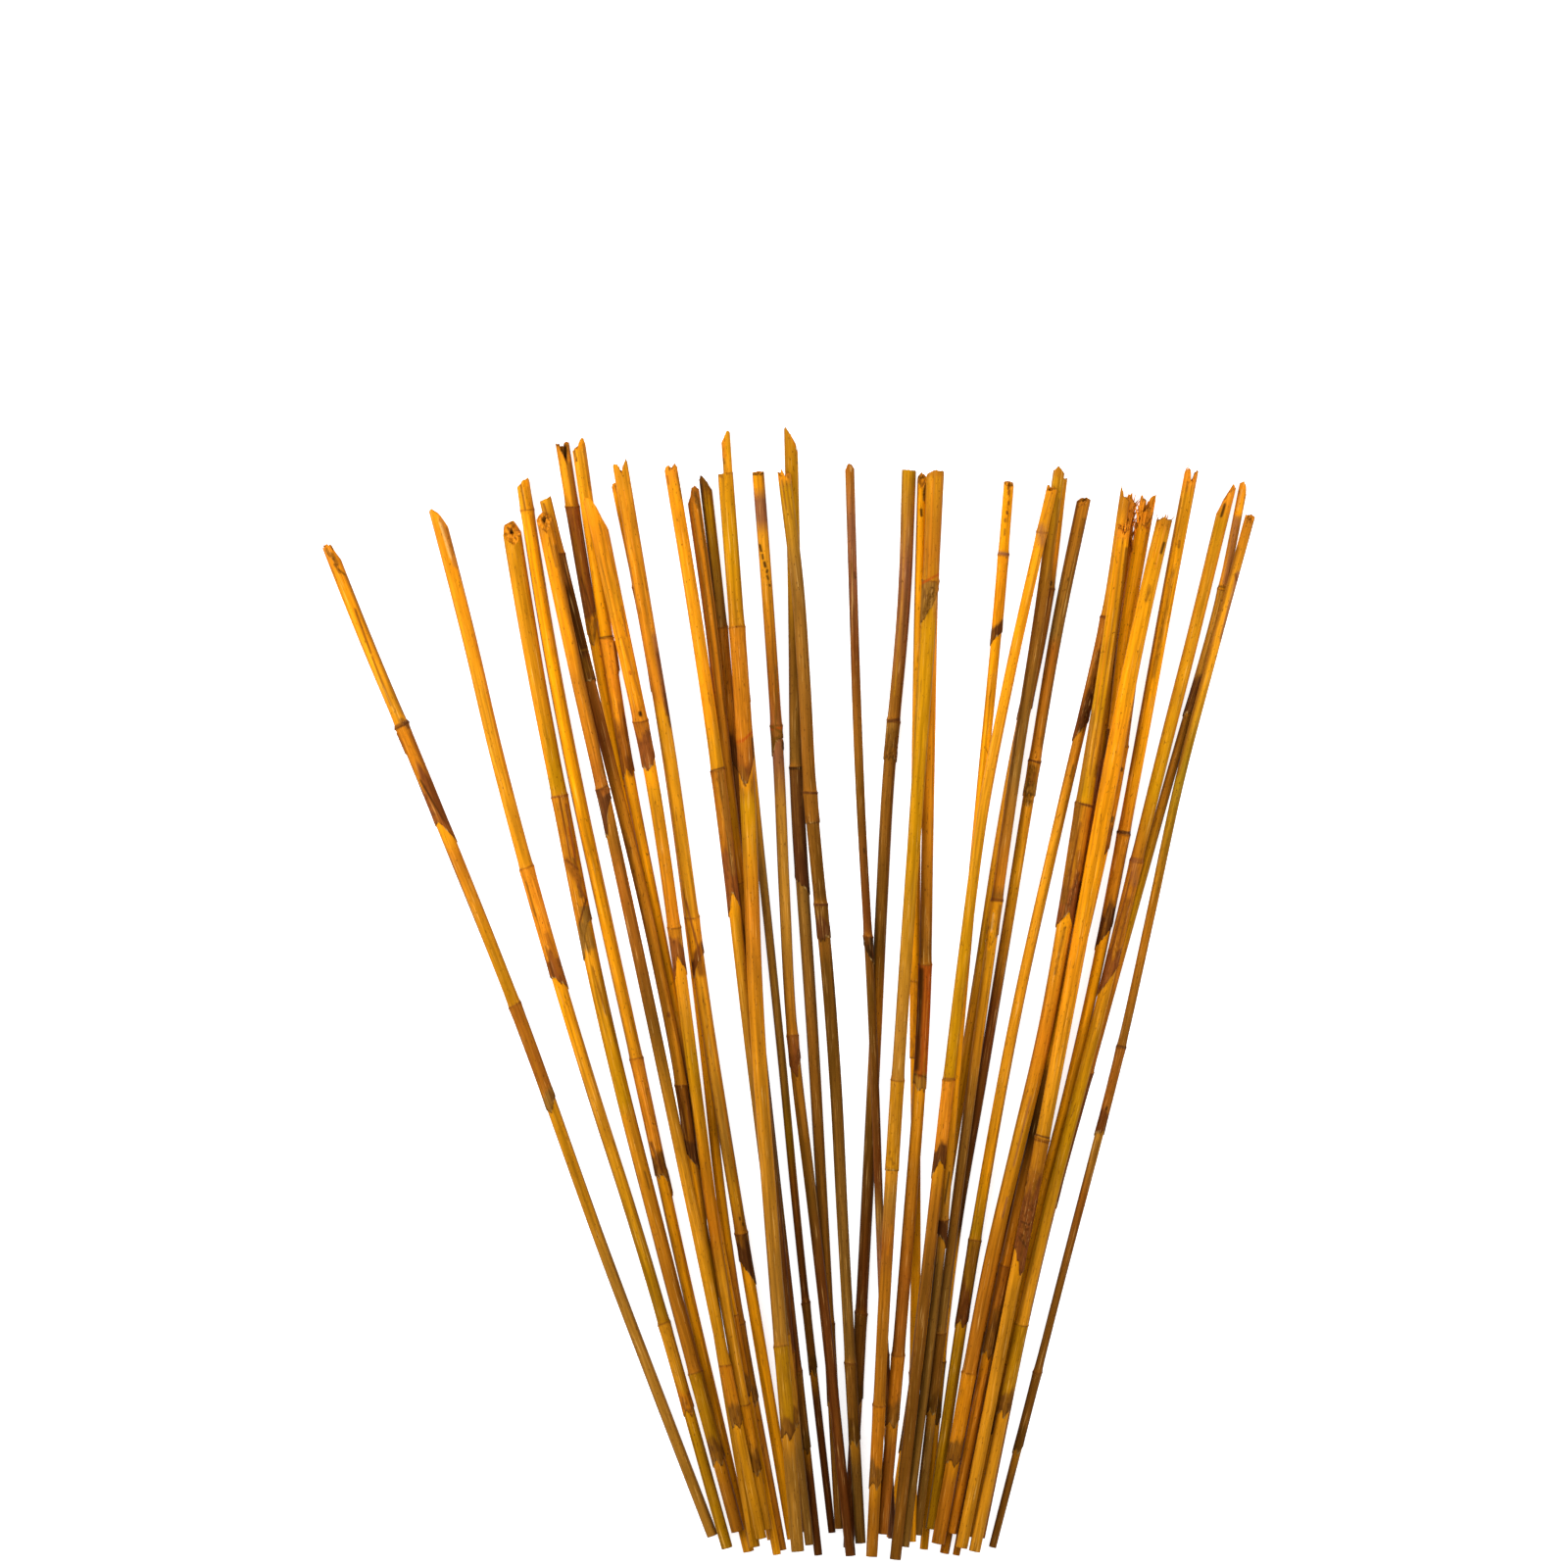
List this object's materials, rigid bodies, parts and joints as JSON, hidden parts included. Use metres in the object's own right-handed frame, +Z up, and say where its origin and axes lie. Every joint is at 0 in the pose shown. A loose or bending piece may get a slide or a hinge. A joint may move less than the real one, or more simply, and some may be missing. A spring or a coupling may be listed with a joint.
{
  "type": "bunch of reeds",
  "caption": "Loose bunch of dry cut reeds lying down, thick ends fanned out, with nodes, leaf sheaths and slanted or broken ends.",
  "frame": {"origin": "on the surface the bunch lies on, under the middle of its box", "axes": "+Z up, +Y along the reeds towards their thick, fanned ends, +X across the fan"},
  "size_m": [0.477, 0.5758, 0.0327],
  "materials": {
    "golden_culm": "dull sheen",
    "olive_culm": "dull sheen",
    "amber_culm": "dull sheen",
    "brown_culm": "matt"
  },
  "bodies": {
    "root": {"reed_01": "golden_culm", "reed_02": "golden_culm", "reed_03": "olive_culm", "reed_04": "golden_culm", "reed_05": "amber_culm", "reed_06": "brown_culm", "reed_07": "olive_culm", "reed_08": "golden_culm", "reed_09": "golden_culm", "reed_10": "golden_culm", "reed_11": "amber_culm", "reed_12": "golden_culm", "reed_13": "amber_culm", "reed_14": "brown_culm", "reed_15": "golden_culm", "reed_16": "golden_culm", "reed_17": "amber_culm", "reed_18": "brown_culm", "reed_19": "brown_culm", "reed_20": "brown_culm", "reed_21": "brown_culm", "reed_22": "golden_culm", "reed_23": "olive_culm", "reed_24": "amber_culm", "reed_25": "golden_culm", "reed_26": "golden_culm", "reed_27": "olive_culm", "reed_28": "brown_culm", "reed_29": "brown_culm", "reed_30": "golden_culm", "reed_31": "golden_culm", "reed_32": "brown_culm", "reed_33": "amber_culm", "reed_34": "golden_culm", "reed_35": "brown_culm", "reed_36": "golden_culm", "reed_37": "olive_culm", "reed_38": "brown_culm", "reed_39": "amber_culm"}
  },
  "joints": []
}
